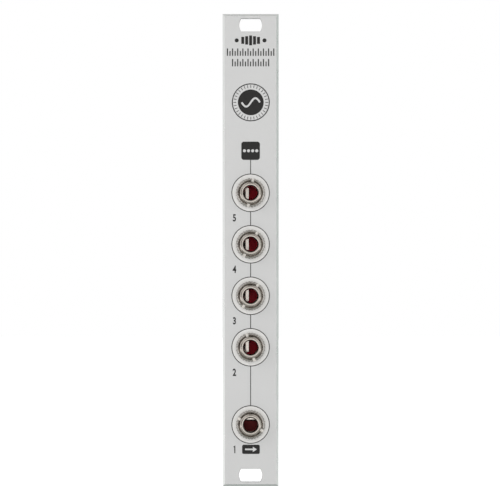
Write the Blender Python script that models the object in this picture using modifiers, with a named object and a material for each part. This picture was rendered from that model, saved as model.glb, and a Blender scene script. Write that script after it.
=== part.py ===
# A narrow synthesiser module: an aluminium front panel with five 3.5 mm sockets, and the circuit
# board behind it with its link header. Metres. +Z is up, +X is right as seen from the front, and
# +Y runs into the rack case. The origin is on the panel's rear face, at its lower rail seat.

import math

import bmesh
import bpy
from mathutils import Matrix, Vector

MM = 0.001
DEGREE = math.pi / 180

# Clearances
SEAT_GAP = 0.05 * MM  # between pieces that touch
OVERRUN = 1.0 * MM  # how far a cutter runs past the wall that it cuts
WELD_DISTANCE = 0.0001 * MM

# Front panel, three units high and three pitches wide
WIDTH_PITCH = 5.08 * MM
PANEL_PITCHES = 3
PANEL_WIDTH = PANEL_PITCHES * WIDTH_PITCH
PANEL_HEIGHT = 128.5 * MM
PANEL_THICKNESS = 2.0 * MM
PANEL_CHAMFER = 0.5 * MM
SOCKET_HOLE_GAP = 0.15 * MM  # round the thread
SLOT_WIDTH = 6.2 * MM
SLOT_HEIGHT = 3.5 * MM
SLOT_INSET = 3.0 * MM  # from the panel's end to the middle of the slot
SLOT_ARC_STEPS = 8

# Places of the sockets on the panel
ROOT_SOCKET_HEIGHT = 16.85 * MM  # above the panel's lower edge
ROOT_TO_VOICE = 21.0 * MM
VOICE_PITCH = 14.0 * MM
SPRING_LEFT = 180 * DEGREE  # turns that point a socket's spring
SPRING_UP = -90 * DEGREE

# Socket bushing, in nickel-plated brass
BUSHING_REACH = 4.5 * MM  # from the panel's rear face to the mouth
THREAD_RADIUS = 2.95 * MM
THREAD_CHAMFER = 0.2 * MM
BORE_RADIUS = 1.85 * MM
MOUTH_FLARE = 0.3 * MM  # from the bore's wall to the mouth's edge
MOUTH_TAPER = 1.0 * MM  # length of the cone between them
NECK_RADIUS = 2.5 * MM
RIVET_LIP = 0.35 * MM  # how far the riveted end spreads beyond the neck
RIVET_LENGTH = 0.3 * MM

# Round knurled nut with a slot across it
NUT_WALL = 1.0 * MM
NUT_LENGTH = 1.75 * MM
NUT_CHAMFER = 0.3 * MM
NUT_LIP = 0.4 * MM  # the chamfer at its bore
NUT_TEETH = 30
KNURL_DEPTH = 0.15 * MM
NUT_SLOT_WIDTH = 1.0 * MM
NUT_SLOT_DEPTH = 0.75 * MM

# Socket housing, open at the rear and windowed at the spring
HOUSING_WIDTH = 9.0 * MM
HOUSING_SLEEVE_END = 5.0 * MM  # from the bore's axis
HOUSING_WALL = 0.8 * MM
HOUSING_FRONT_WALL = 0.9 * MM
HOUSING_BEVEL = 0.3 * MM
WINDOW_NEAR = 1.2 * MM  # from the bore's axis, towards the spring
WINDOW_END = 0.4 * MM  # short of the cavity's end
WINDOW_FRONT = 0.9 * MM  # behind the front wall
WINDOW_REAR = 1.3 * MM  # ahead of the housing's rear edge
BASE_THICKNESS = 0.6 * MM

# Contact strips inside a socket
STRIP_THICKNESS = 0.3 * MM
SPRING_THICKNESS = 0.25 * MM
SPRING_WIDTH = 3.0 * MM
CONTACT_DEPTH = 11.8 * MM  # from the bushing's mouth to the spring's crest
CREST_OFFSET = 0.65 * MM  # from the bore's axis
CREST_RADIUS = 0.3 * MM
CREST_STEPS = 4
KNEE_OFFSET = 1.45 * MM
KNEE_RADIUS = 0.2 * MM
KNEE_STEPS = 3
LIP_RISE = 1.0 * MM  # from the crest to the lip
EAR_LENGTH = 0.75 * MM
EAR_LEAN = 0.12 * MM
EAR_CLEARANCE = 0.75 * MM  # from the ear to the base plate
CURL_RADIUS = 0.5 * MM
CURL_STEPS = 6
CURL_CLEARANCE = 0.325 * MM  # from the riveted end to the curl
LEG_GAP = 0.25 * MM  # from the fixed leg to the housing's end wall
SPLIT_GAP = 0.1 * MM  # where the spring leaves its leg
SWITCH_WALL_GAP = 0.5 * MM  # from the switch contact to the housing's side wall
PIN_WIDTH = 0.8 * MM
SHOULDER = 0.3 * MM  # length of the taper from a strip to its pin
PIN_TAIL = 1.2 * MM  # beyond the board's rear face
SLEEVE_PLATE_INSET = 0.2 * MM
SLEEVE_TAB_WIDTH = 2.4 * MM
SLEEVE_BEND_RADIUS = 0.35 * MM
BEND_STEPS = 4

# Circuit board
BOARD_THICKNESS = 1.6 * MM
BOARD_END_MARGIN = 1.1 * MM  # beyond the lowest terminal and the header
BOARD_SIDE_MARGIN = 1.45 * MM  # beyond the terminals at the sides
BOARD_CORNER = 0.8 * MM
BOARD_CORNER_STEPS = 4
PIN_HOLE_GAP = 0.12 * MM  # round a pin's corners

# Link header, a shrouded double row of pins
HEADER_GAP = 3.5 * MM  # from the highest socket's housing to the shroud
HEADER_PITCH = 2.54 * MM
HEADER_ROWS = 5
HEADER_PIN = 0.64 * MM
HEADER_PIN_CHAMFER = 0.12 * MM
HEADER_PIN_TOP = 8.2 * MM  # above the board's rear face
HEADER_PIN_TAIL = 1.3 * MM  # beyond the board's front face
SHROUD_END = 5.07 * MM  # from the last pin to the outside
SHROUD_WIDTH = 8.9 * MM
SHROUD_DEPTH = 9.0 * MM
SHROUD_WALL = 1.2 * MM
SHROUD_FLOOR = 2.4 * MM
SHROUD_BEVEL = 0.25 * MM
KEY_WIDTH = 4.5 * MM

# Fourteen-lead amplifier chips, soldered between the rows of socket pins
CHIP_END = 0.515 * MM  # from the last lead's middle to the body's end
CHIP_WIDTH = 3.9 * MM
CHIP_HEIGHT = 1.5 * MM
CHIP_STAND_OFF = 0.15 * MM
CHIP_BEVEL = 0.18 * MM
LEAD_PITCH = 1.27 * MM
LEAD_ROWS = 7
LEAD_WIDTH = 0.42 * MM
LEAD_THICKNESS = 0.2 * MM
LEAD_REACH = 1.05 * MM  # from the chip's side to the toe
LEAD_FOOT = 0.5 * MM
LEAD_ROOT = 0.2 * MM  # inside the chip's body

# Ceramic bypass capacitors, beside the chips
CAPACITOR_LENGTH = 2.0 * MM
CAPACITOR_WIDTH = 1.25 * MM
CAPACITOR_HEIGHT = 0.9 * MM
CAPACITOR_CAP = 0.4 * MM
CAPACITOR_CAP_PROUD = 0.04 * MM
CAPACITOR_GAP = 1.3 * MM  # from the chip's leads
CAPACITOR_SPACING = 0.6 * MM  # between the two beside a chip

ROUND_SIDES = 40
BORE_SIDES = 32
PIN_HOLE_SIDES = 12

# Round sizes that follow the thread, the bore and the neck
SOCKET_HOLE_RADIUS = THREAD_RADIUS + SOCKET_HOLE_GAP
NUT_BORE_RADIUS = THREAD_RADIUS + SEAT_GAP
NUT_RADIUS = NUT_BORE_RADIUS + NUT_WALL
MOUTH_RADIUS = BORE_RADIUS + MOUTH_FLARE
RIVET_RADIUS = NECK_RADIUS + RIVET_LIP

# Places across a socket, from the bore's axis
PIVOT_OFFSET = RIVET_RADIUS + CURL_CLEARANCE + SPRING_THICKNESS / 2 + CURL_RADIUS
LEG_OFFSET = PIVOT_OFFSET + CURL_RADIUS
CAVITY_SPRING_END = LEG_OFFSET + STRIP_THICKNESS / 2 + LEG_GAP
HOUSING_SPRING_END = CAVITY_SPRING_END + HOUSING_WALL
CAVITY_HALF_WIDTH = HOUSING_WIDTH / 2 - HOUSING_WALL
SWITCH_POST_OFFSET = KNEE_OFFSET - SPRING_THICKNESS / 2 - SEAT_GAP - STRIP_THICKNESS / 2
SWITCH_EDGE = CAVITY_HALF_WIDTH - SWITCH_WALL_GAP
SWITCH_MIDDLE = SWITCH_EDGE - PIN_WIDTH / 2
SLEEVE_TAB_OFFSET = HOUSING_SLEEVE_END + SEAT_GAP + STRIP_THICKNESS / 2
SLEEVE_TAB_REACH = SLEEVE_TAB_OFFSET + STRIP_THICKNESS / 2

# Levels, from the panel's rear face into the case
SLEEVE_PLATE_LEVEL = SEAT_GAP + STRIP_THICKNESS / 2
HOUSING_FRONT = SLEEVE_PLATE_LEVEL + STRIP_THICKNESS / 2 + SEAT_GAP
CAVITY_FRONT = HOUSING_FRONT + HOUSING_FRONT_WALL
PIVOT_LEVEL = CAVITY_FRONT + LEG_GAP + CURL_RADIUS + SPRING_THICKNESS / 2
CREST_LEVEL = CONTACT_DEPTH - BUSHING_REACH
LIP_LEVEL = CREST_LEVEL + LIP_RISE
BASE_FRONT = LIP_LEVEL + EAR_LENGTH + EAR_CLEARANCE
HOUSING_REAR = BASE_FRONT + BASE_THICKNESS
BOARD_FRONT = HOUSING_REAR + SEAT_GAP
BOARD_REAR = BOARD_FRONT + BOARD_THICKNESS
PIN_END = BOARD_REAR + PIN_TAIL

# Heights above the panel's lower edge
TOP_SOCKET_HEIGHT = ROOT_SOCKET_HEIGHT + ROOT_TO_VOICE + 3 * VOICE_PITCH
SHROUD_HALF_LENGTH = HEADER_PITCH * (HEADER_ROWS - 1) / 2 + SHROUD_END
HEADER_HEIGHT = TOP_SOCKET_HEIGHT + HOUSING_WIDTH / 2 + HEADER_GAP + SHROUD_HALF_LENGTH
BOARD_BOTTOM = ROOT_SOCKET_HEIGHT - SLEEVE_TAB_REACH - BOARD_END_MARGIN
BOARD_TOP = HEADER_HEIGHT + SHROUD_HALF_LENGTH + BOARD_END_MARGIN

# Sizes and places of the board and what lies on it
BOARD_WIDTH = 2 * (SLEEVE_TAB_REACH + BOARD_SIDE_MARGIN)
SOCKET_PIN_HOLE_RADIUS = math.hypot(PIN_WIDTH, STRIP_THICKNESS) / 2 + PIN_HOLE_GAP
HEADER_PIN_HOLE_RADIUS = math.hypot(HEADER_PIN, HEADER_PIN) / 2 + PIN_HOLE_GAP
CHIP_LENGTH = LEAD_PITCH * (LEAD_ROWS - 1) + 2 * CHIP_END
CHIP_ABOVE_SOCKET = (SWITCH_MIDDLE + VOICE_PITCH) / 2  # midway between its pins and the next one's
CAPACITOR_REACH = CAPACITOR_WIDTH / 2 + CAPACITOR_CAP_PROUD
CAPACITOR_ASIDE = CHIP_WIDTH / 2 + LEAD_REACH + CAPACITOR_GAP + CAPACITOR_REACH
CAPACITOR_SPREAD = CAPACITOR_LENGTH + CAPACITOR_SPACING

# Heights, from the lower rail seat, which is halfway between the slot and the panel's edge
RAIL_SEAT = (SLOT_INSET - SLOT_HEIGHT / 2) / 2
PANEL_BOTTOM = -RAIL_SEAT
PANEL_TOP = PANEL_BOTTOM + PANEL_HEIGHT

# Each socket: its height above the panel's lower edge, its turn, and the angle of its nut's slot
SOCKETS = (
    (ROOT_SOCKET_HEIGHT, SPRING_UP, 153 * DEGREE),
    (ROOT_SOCKET_HEIGHT + ROOT_TO_VOICE, SPRING_LEFT, 106 * DEGREE),
    (ROOT_SOCKET_HEIGHT + ROOT_TO_VOICE + VOICE_PITCH, SPRING_LEFT, 56 * DEGREE),
    (ROOT_SOCKET_HEIGHT + ROOT_TO_VOICE + 2 * VOICE_PITCH, SPRING_LEFT, 60 * DEGREE),
    (TOP_SOCKET_HEIGHT, SPRING_LEFT, 80 * DEGREE),
)
CHIPS_ABOVE_SOCKETS = (2, 3)  # counted from 0 at the lowest socket


def clear_scene():
    for obj in list(bpy.data.objects):
        bpy.data.objects.remove(obj)


def material(name, colour, roughness, metallic):
    made = bpy.data.materials.new(name)
    made.use_nodes = True
    shader = made.node_tree.nodes["Principled BSDF"]
    shader.inputs["Base Color"].default_value = (*colour, 1.0)
    shader.inputs["Roughness"].default_value = roughness
    shader.inputs["Metallic"].default_value = metallic
    return made


def helper(mesh):
    """A passing object that carries modifiers, or that cuts another."""
    obj = bpy.data.objects.new("helper", mesh)
    bpy.context.scene.collection.objects.link(obj)
    return obj


def mesh_of(bm):
    mesh = bpy.data.meshes.new("shape")
    bm.to_mesh(mesh)
    bm.free()
    return mesh


def baked(obj):
    """The object's shape with its modifiers applied, as a welded mesh. The object is removed."""
    bpy.context.view_layer.update()
    graph = bpy.context.evaluated_depsgraph_get()
    mesh = bpy.data.meshes.new_from_object(obj.evaluated_get(graph))
    mesh.transform(obj.matrix_world)
    bpy.data.objects.remove(obj)
    bm = bmesh.new()
    bm.from_mesh(mesh)
    bmesh.ops.remove_doubles(bm, verts=bm.verts, dist=WELD_DISTANCE)
    bmesh.ops.recalc_face_normals(bm, faces=bm.faces)
    bm.to_mesh(mesh)
    bm.free()
    return mesh


def block(low, high, bevel=0.0):
    """A box between two corners, with every edge bevelled if a bevel is given."""
    low, high = Vector(low), Vector(high)
    place = Matrix.Translation((low + high) / 2) @ Matrix.Diagonal((*(high - low), 1.0))
    bm = bmesh.new()
    bmesh.ops.create_cube(bm, size=1.0, matrix=place)
    if bevel:
        bmesh.ops.bevel(bm, geom=bm.edges, offset=bevel, segments=1, affect="EDGES")
    return mesh_of(bm)


def rod(radius, low, high, centre=(0.0, 0.0), sides=ROUND_SIDES):
    """A round bar along Z, from one level to another."""
    bm = bmesh.new()
    bmesh.ops.create_cone(
        bm,
        cap_ends=True,
        segments=sides,
        radius1=radius,
        radius2=radius,
        depth=high - low,
        matrix=Matrix.Translation((*centre, (low + high) / 2)),
    )
    return mesh_of(bm)


def turned(profile, sides):
    """A ring turned about Z from its closed cross-section, given as radius and level."""
    bm = bmesh.new()
    corners = [bm.verts.new((radius, 0.0, level)) for radius, level in profile]
    for first, second in zip(corners, corners[1:] + corners[:1]):
        bm.edges.new((first, second))
    ring = helper(mesh_of(bm))
    screw = ring.modifiers.new("turn", "SCREW")
    screw.steps = screw.render_steps = sides
    screw.use_merge_vertices = True
    screw.merge_threshold = WELD_DISTANCE
    return baked(ring)


def plate(outlines, thickness):
    """A flat plate in XY. Its first outline is the edge, and the others are holes."""
    curve = bpy.data.curves.new("outline", "CURVE")
    curve.dimensions = "2D"
    curve.fill_mode = "BOTH"
    curve.extrude = thickness / 2
    for outline in outlines:
        spline = curve.splines.new("POLY")
        spline.points.add(len(outline) - 1)
        spline.use_cyclic_u = True
        for point, (x, y) in zip(spline.points, outline):
            point.co = (x, y, 0.0, 1.0)
    return baked(helper(curve))


def strip(rows, thickness):
    """A bent strip of sheet metal. Each row gives x, z, and the strip's low and high y there."""
    bm = bmesh.new()
    edges = [(bm.verts.new((x, low, z)), bm.verts.new((x, high, z))) for x, z, low, high in rows]
    for (a, b), (c, d) in zip(edges, edges[1:]):
        bm.faces.new((a, b, d, c))
    sheet = helper(mesh_of(bm))
    solidify = sheet.modifiers.new("thickness", "SOLIDIFY")
    solidify.thickness = thickness
    solidify.offset = 0.0
    solidify.use_even_offset = True
    return baked(sheet)


def combined(mesh, others, operation):
    """One mesh cut by, or joined with, others."""
    base = helper(mesh)
    tools = [helper(other) for other in others]
    for tool in tools:
        modifier = base.modifiers.new("combine", "BOOLEAN")
        modifier.operation = operation
        modifier.object = tool
    result = baked(base)
    for tool in tools:
        bpy.data.objects.remove(tool)
    return result


def arc(centre, radius, start, end, steps):
    """Points along an arc, both ends included."""
    angles = [start + (end - start) * step / steps for step in range(steps + 1)]
    return [(centre[0] + radius * math.cos(a), centre[1] + radius * math.sin(a)) for a in angles]


def circle(centre, radius, sides):
    return arc(centre, radius, 0.0, 2 * math.pi * (1 - 1 / sides), sides - 1)


def bend(before, corner, after, radius, steps):
    """Points along the arc that rounds off a corner between two straight runs."""
    corner = Vector(corner)
    back = (Vector(before) - corner).normalized()
    ahead = (Vector(after) - corner).normalized()
    half_angle = back.angle(ahead) / 2
    centre = corner + (back + ahead).normalized() * radius / math.sin(half_angle)
    first = corner + back * radius / math.tan(half_angle) - centre
    last = corner + ahead * radius / math.tan(half_angle) - centre
    turns = [first.slerp(last, step / steps).normalized() for step in range(steps + 1)]
    return [tuple(centre + turn * radius) for turn in turns]


def centred(rows, width):
    """Rows of a strip that keeps one width about its middle."""
    return [(x, z, -width / 2, width / 2) for x, z in rows]


def moved(mesh, offset):
    mesh.transform(Matrix.Translation(offset))
    return mesh


def facing_case(mesh):
    """Stands a shape that was drawn flat in XY upright, with its Y as height."""
    mesh.transform(Matrix.Rotation(math.pi / 2, 4, "X"))
    return mesh


def put(name, mesh, finish, parent=None, location=(0.0, 0.0, 0.0), turn=0.0):
    """Adds a piece to the module, smooth where it is round."""
    if not mesh.materials:
        mesh.materials.append(finish)
        mesh.shade_smooth()
        mesh.set_sharp_from_angle(angle=30 * DEGREE)
    obj = bpy.data.objects.new(name, mesh)
    bpy.data.collections["synth_module"].objects.link(obj)
    obj.parent = parent
    obj.location = location
    obj.rotation_euler.z = turn
    return obj


def socket_height(socket):
    return PANEL_BOTTOM + socket[0]


def front_panel_mesh():
    """The panel, chamfered round its front edge, with its mounting slots and socket holes."""
    half_width = PANEL_WIDTH / 2
    bm = bmesh.new()
    bm.from_mesh(
        block((-half_width, -PANEL_THICKNESS, PANEL_BOTTOM), (half_width, 0.0, PANEL_TOP))
    )
    front = -PANEL_THICKNESS / 2
    edges = [e for e in bm.edges if all(vertex.co.y < front for vertex in e.verts)]
    bmesh.ops.bevel(bm, geom=edges, offset=PANEL_CHAMFER, segments=2, affect="EDGES", profile=0.5)
    blank = mesh_of(bm)
    holes = [
        circle((0.0, socket_height(socket)), SOCKET_HOLE_RADIUS, ROUND_SIDES)
        for socket in SOCKETS
    ]
    holes += [slot_outline(PANEL_BOTTOM + SLOT_INSET), slot_outline(PANEL_TOP - SLOT_INSET)]
    cutter_depth = PANEL_THICKNESS + 2 * OVERRUN
    cutters = [facing_case(plate([hole], cutter_depth)) for hole in holes]
    for cutter in cutters:
        moved(cutter, (0.0, -PANEL_THICKNESS / 2, 0.0))
    return combined(blank, cutters, "DIFFERENCE")


def slot_outline(height):
    """A mounting slot: a round hole as wide as the slot, with its top and bottom cut flat."""
    radius = SLOT_WIDTH / 2
    corner = math.asin(SLOT_HEIGHT / SLOT_WIDTH)
    right = arc((0.0, height), radius, -corner, corner, SLOT_ARC_STEPS)
    left = arc((0.0, height), radius, math.pi - corner, math.pi + corner, SLOT_ARC_STEPS)
    return right + left


def bushing_mesh():
    """The threaded bushing: its thread ahead, and its neck riveted behind the housing's wall."""
    mouth = -BUSHING_REACH
    rivet = CAVITY_FRONT + SEAT_GAP
    end = rivet + RIVET_LENGTH
    return turned(
        (
            (MOUTH_RADIUS, mouth),
            (THREAD_RADIUS - THREAD_CHAMFER, mouth),
            (THREAD_RADIUS, mouth + THREAD_CHAMFER),
            (THREAD_RADIUS, 0.0),
            (NECK_RADIUS, 0.0),
            (NECK_RADIUS, rivet),
            (RIVET_RADIUS, rivet),
            (RIVET_RADIUS, end),
            (BORE_RADIUS, end),
            (BORE_RADIUS, mouth + MOUTH_TAPER),
        ),
        BORE_SIDES,
    )


def nut_mesh():
    """The round nut, chamfered in front, knurled and cut across by a driver's slot."""
    rear = -PANEL_THICKNESS - SEAT_GAP
    front = rear - NUT_LENGTH
    ring = turned(
        (
            (NUT_BORE_RADIUS + NUT_LIP, front),
            (NUT_RADIUS - NUT_CHAMFER, front),
            (NUT_RADIUS, front + NUT_CHAMFER),
            (NUT_RADIUS, rear),
            (NUT_BORE_RADIUS, rear),
            (NUT_BORE_RADIUS, front + NUT_LIP),
        ),
        2 * NUT_TEETH,
    )
    # every other column of the outer wall is drawn in
    for vertex in ring.vertices:
        across = vertex.co.xy
        column = round(math.atan2(across.y, across.x) * NUT_TEETH / math.pi)
        if column % 2 and across.length > NUT_RADIUS - SEAT_GAP:
            vertex.co.xy = across.normalized() * (NUT_RADIUS - KNURL_DEPTH)
    reach = NUT_RADIUS + OVERRUN
    slot = block(
        (-reach, -NUT_SLOT_WIDTH / 2, front - OVERRUN),
        (reach, NUT_SLOT_WIDTH / 2, front + NUT_SLOT_DEPTH),
    )
    return combined(ring, [slot], "DIFFERENCE")


def housing_mesh():
    """The moulded box: one bore in front, open behind, with a window beside the spring."""
    half_width = HOUSING_WIDTH / 2
    shell = block(
        (-HOUSING_SLEEVE_END, -half_width, HOUSING_FRONT),
        (HOUSING_SPRING_END, half_width, HOUSING_REAR),
        HOUSING_BEVEL,
    )
    cavity = block(
        (-HOUSING_SLEEVE_END + HOUSING_WALL, -CAVITY_HALF_WIDTH, CAVITY_FRONT),
        (CAVITY_SPRING_END, CAVITY_HALF_WIDTH, HOUSING_REAR + OVERRUN),
    )
    bore = rod(NECK_RADIUS + SEAT_GAP, HOUSING_FRONT - OVERRUN, CAVITY_FRONT + OVERRUN)
    window = block(
        (WINDOW_NEAR, -half_width - OVERRUN, CAVITY_FRONT + WINDOW_FRONT),
        (CAVITY_SPRING_END - WINDOW_END, half_width + OVERRUN, HOUSING_REAR - WINDOW_REAR),
    )
    return combined(shell, [cavity, bore, window], "DIFFERENCE")


def base_mesh():
    """The insulating plate that closes the housing, with a slot for each inner pin."""
    slots = [
        block(
            (x - STRIP_THICKNESS / 2 - SEAT_GAP, y - PIN_WIDTH / 2 - SEAT_GAP, BASE_FRONT - OVERRUN),
            (x + STRIP_THICKNESS / 2 + SEAT_GAP, y + PIN_WIDTH / 2 + SEAT_GAP, HOUSING_REAR + OVERRUN),
        )
        for x, y in (tip_pin_place(), switch_pin_place())
    ]
    blank = block(
        (-HOUSING_SLEEVE_END + HOUSING_WALL + SEAT_GAP, -CAVITY_HALF_WIDTH + SEAT_GAP, BASE_FRONT),
        (CAVITY_SPRING_END - SEAT_GAP, CAVITY_HALF_WIDTH - SEAT_GAP, HOUSING_REAR),
    )
    return combined(blank, slots, "DIFFERENCE")


def tip_pin_place():
    return LEG_OFFSET, 0.0


def switch_pin_place():
    return SWITCH_POST_OFFSET, SWITCH_MIDDLE


def sleeve_pin_place():
    return -SLEEVE_TAB_OFFSET, 0.0


def spring_mesh():
    """The moving leaf: a curl at its root, an arm, a knee that turns in towards the bore, the
    rounded crest that meets the plug, and a lip with an ear beside it for the switch. It is
    drawn about its pivot."""
    curl = arc((0.0, 0.0), CURL_RADIUS, 0.0, -math.pi, CURL_STEPS)
    crest_centre = (CREST_OFFSET + CREST_RADIUS - PIVOT_OFFSET, CREST_LEVEL - PIVOT_LEVEL)
    crest = arc(crest_centre, CREST_RADIUS, -math.pi / 2, -math.pi * 5 / 4, CREST_STEPS)
    knee_corner = (KNEE_OFFSET - PIVOT_OFFSET, crest[0][1])
    knee = bend(curl[-1], knee_corner, crest[0], KNEE_RADIUS, KNEE_STEPS)
    lip = (KNEE_OFFSET - PIVOT_OFFSET, LIP_LEVEL - PIVOT_LEVEL)
    end = (lip[0] + EAR_LEAN, lip[1] + EAR_LENGTH)
    rows = centred([*curl, *knee, *crest, lip], SPRING_WIDTH)
    shoulder_share = SHOULDER / EAR_LENGTH
    shoulder = (lip[0] + EAR_LEAN * shoulder_share, lip[1] + SHOULDER)
    rows += [(*place, -SPRING_WIDTH / 2, SWITCH_EDGE) for place in (shoulder, end)]
    return strip(rows, SPRING_THICKNESS)


def tip_terminal_mesh():
    """The spring's fixed leg, which narrows to the pin that goes through the board."""
    top = PIVOT_LEVEL + SPLIT_GAP
    shoulder = BASE_FRONT - SEAT_GAP
    rows = centred([(LEG_OFFSET, top), (LEG_OFFSET, shoulder - SHOULDER)], SPRING_WIDTH)
    rows += centred([(LEG_OFFSET, shoulder), (LEG_OFFSET, PIN_END)], PIN_WIDTH)
    return strip(rows, STRIP_THICKNESS)


def switch_terminal_mesh():
    """The fixed switch contact, a post that the spring's ear rests on until a plug goes in."""
    x, y = switch_pin_place()
    top = LIP_LEVEL - SPRING_THICKNESS
    low, high = y - PIN_WIDTH / 2, y + PIN_WIDTH / 2
    return strip([(x, top, low, high), (x, PIN_END, low, high)], STRIP_THICKNESS)


def sleeve_terminal_mesh():
    """The earth plate under the bushing, with a tab bent down the housing's end to the board."""
    half_plate = HOUSING_WIDTH / 2 - SLEEVE_PLATE_INSET
    far_edge = HOUSING_SPRING_END - SLEEVE_PLATE_INSET
    bend_centre = (SLEEVE_BEND_RADIUS - SLEEVE_TAB_OFFSET, SLEEVE_PLATE_LEVEL + SLEEVE_BEND_RADIUS)
    corner = arc(bend_centre, SLEEVE_BEND_RADIUS, -math.pi / 2, -math.pi, BEND_STEPS)
    neck = corner[0][0] + SHOULDER
    rows = [
        (far_edge, SLEEVE_PLATE_LEVEL, -half_plate, half_plate),
        (neck, SLEEVE_PLATE_LEVEL, -half_plate, half_plate),
    ]
    tab = [*corner, (-SLEEVE_TAB_OFFSET, BASE_FRONT)]
    rows += centred(tab, SLEEVE_TAB_WIDTH)
    rows += centred(
        [(-SLEEVE_TAB_OFFSET, BASE_FRONT + SHOULDER), (-SLEEVE_TAB_OFFSET, PIN_END)], PIN_WIDTH
    )
    blank = strip(rows, STRIP_THICKNESS)
    hole = rod(NECK_RADIUS + SEAT_GAP, -OVERRUN, HOUSING_FRONT + OVERRUN, sides=BORE_SIDES)
    return combined(blank, [hole], "DIFFERENCE")


def add_sockets(finishes):
    """The five sockets, which share their meshes. Each hangs on an empty on its bore's axis."""
    meshes = {
        "bushing": (bushing_mesh(), "nickel"),
        "nut": (nut_mesh(), "nickel"),
        "housing": (housing_mesh(), "housing_plastic"),
        "base_plate": (base_mesh(), "base_plastic"),
        "sleeve_terminal": (sleeve_terminal_mesh(), "tinned_strip"),
        "tip_terminal": (tip_terminal_mesh(), "tinned_strip"),
        "switch_terminal": (switch_terminal_mesh(), "tinned_strip"),
    }
    leaf = spring_mesh()
    for number, socket in enumerate(SOCKETS, start=1):
        _, turn, slot_angle = socket
        axis = bpy.data.objects.new(f"jack_{number}", None)
        bpy.data.collections["synth_module"].objects.link(axis)
        axis.matrix_world = (
            Matrix.Translation((0.0, 0.0, socket_height(socket)))
            @ Matrix.Rotation(-math.pi / 2, 4, "X")
            @ Matrix.Rotation(turn, 4, "Z")
        )
        for piece, (mesh, finish) in meshes.items():
            piece_turn = -slot_angle - turn if piece == "nut" else 0.0
            put(f"jack_{number}_{piece}", mesh, finishes[finish], axis, turn=piece_turn)
        put(
            f"jack_{number}_tip_spring",
            leaf,
            finishes["spring_metal"],
            axis,
            location=(PIVOT_OFFSET, 0.0, PIVOT_LEVEL),
        )


def socket_pin_holes():
    """Where each socket's pins meet the board, as x and height."""
    places = []
    for socket in SOCKETS:
        spin = Matrix.Rotation(socket[1], 2)
        for place in (tip_pin_place(), switch_pin_place(), sleeve_pin_place()):
            across, down = spin @ Vector(place)
            places.append((across, socket_height(socket) - down))
    return places


def header_pin_places():
    """The header's pins, as x and height."""
    middle = PANEL_BOTTOM + HEADER_HEIGHT
    rise = HEADER_PITCH * (HEADER_ROWS - 1) / 2
    return [
        (side * HEADER_PITCH / 2, middle - rise + row * HEADER_PITCH)
        for row in range(HEADER_ROWS)
        for side in (-1, 1)
    ]


def board_mesh():
    """The circuit board, with rounded corners and a drilled hole for every pin."""
    half_width = BOARD_WIDTH / 2 - BOARD_CORNER
    low = PANEL_BOTTOM + BOARD_BOTTOM + BOARD_CORNER
    high = PANEL_BOTTOM + BOARD_TOP - BOARD_CORNER
    corners = ((half_width, high), (-half_width, high), (-half_width, low), (half_width, low))
    edge = []
    for quarter, corner in enumerate(corners):
        start = quarter * math.pi / 2
        edge += arc(corner, BOARD_CORNER, start, start + math.pi / 2, BOARD_CORNER_STEPS)
    holes = [
        circle(place, SOCKET_PIN_HOLE_RADIUS, PIN_HOLE_SIDES) for place in socket_pin_holes()
    ]
    holes += [
        circle(place, HEADER_PIN_HOLE_RADIUS, PIN_HOLE_SIDES) for place in header_pin_places()
    ]
    board = facing_case(plate([edge, *holes], BOARD_THICKNESS))
    return moved(board, (0.0, BOARD_FRONT + BOARD_THICKNESS / 2, 0.0))


def shroud_mesh():
    """The header's moulded box, with its keying notch and a hole for each pin."""
    middle = PANEL_BOTTOM + HEADER_HEIGHT
    half_width = SHROUD_WIDTH / 2
    floor = BOARD_REAR + SEAT_GAP
    rim = floor + SHROUD_DEPTH
    cavity_floor = floor + SHROUD_FLOOR
    body = block(
        (-half_width, floor, middle - SHROUD_HALF_LENGTH),
        (half_width, rim, middle + SHROUD_HALF_LENGTH),
        SHROUD_BEVEL,
    )
    inner_length = SHROUD_HALF_LENGTH - SHROUD_WALL
    inner_width = half_width - SHROUD_WALL
    cavity = block(
        (-inner_width, cavity_floor, middle - inner_length),
        (inner_width, rim + OVERRUN, middle + inner_length),
    )
    key = block(
        (-half_width - OVERRUN, cavity_floor, middle - KEY_WIDTH / 2),
        (-inner_width + OVERRUN, rim + OVERRUN, middle + KEY_WIDTH / 2),
    )
    half_hole = HEADER_PIN / 2 + SEAT_GAP
    holes = [
        block(
            (x - half_hole, floor - OVERRUN, z - half_hole),
            (x + half_hole, cavity_floor + OVERRUN, z + half_hole),
        )
        for x, z in header_pin_places()
    ]
    return combined(body, [cavity, key, *holes], "DIFFERENCE")


def add_header(finishes):
    put("header_shroud", shroud_mesh(), finishes["header_plastic"])
    half_pin = HEADER_PIN / 2
    pin = block(
        (-half_pin, BOARD_FRONT - HEADER_PIN_TAIL, -half_pin),
        (half_pin, BOARD_REAR + HEADER_PIN_TOP, half_pin),
        HEADER_PIN_CHAMFER,
    )
    for number, (x, z) in enumerate(header_pin_places(), start=1):
        put(f"header_pin_{number}", pin, finishes["gold"], location=(x, 0.0, z))


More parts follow.
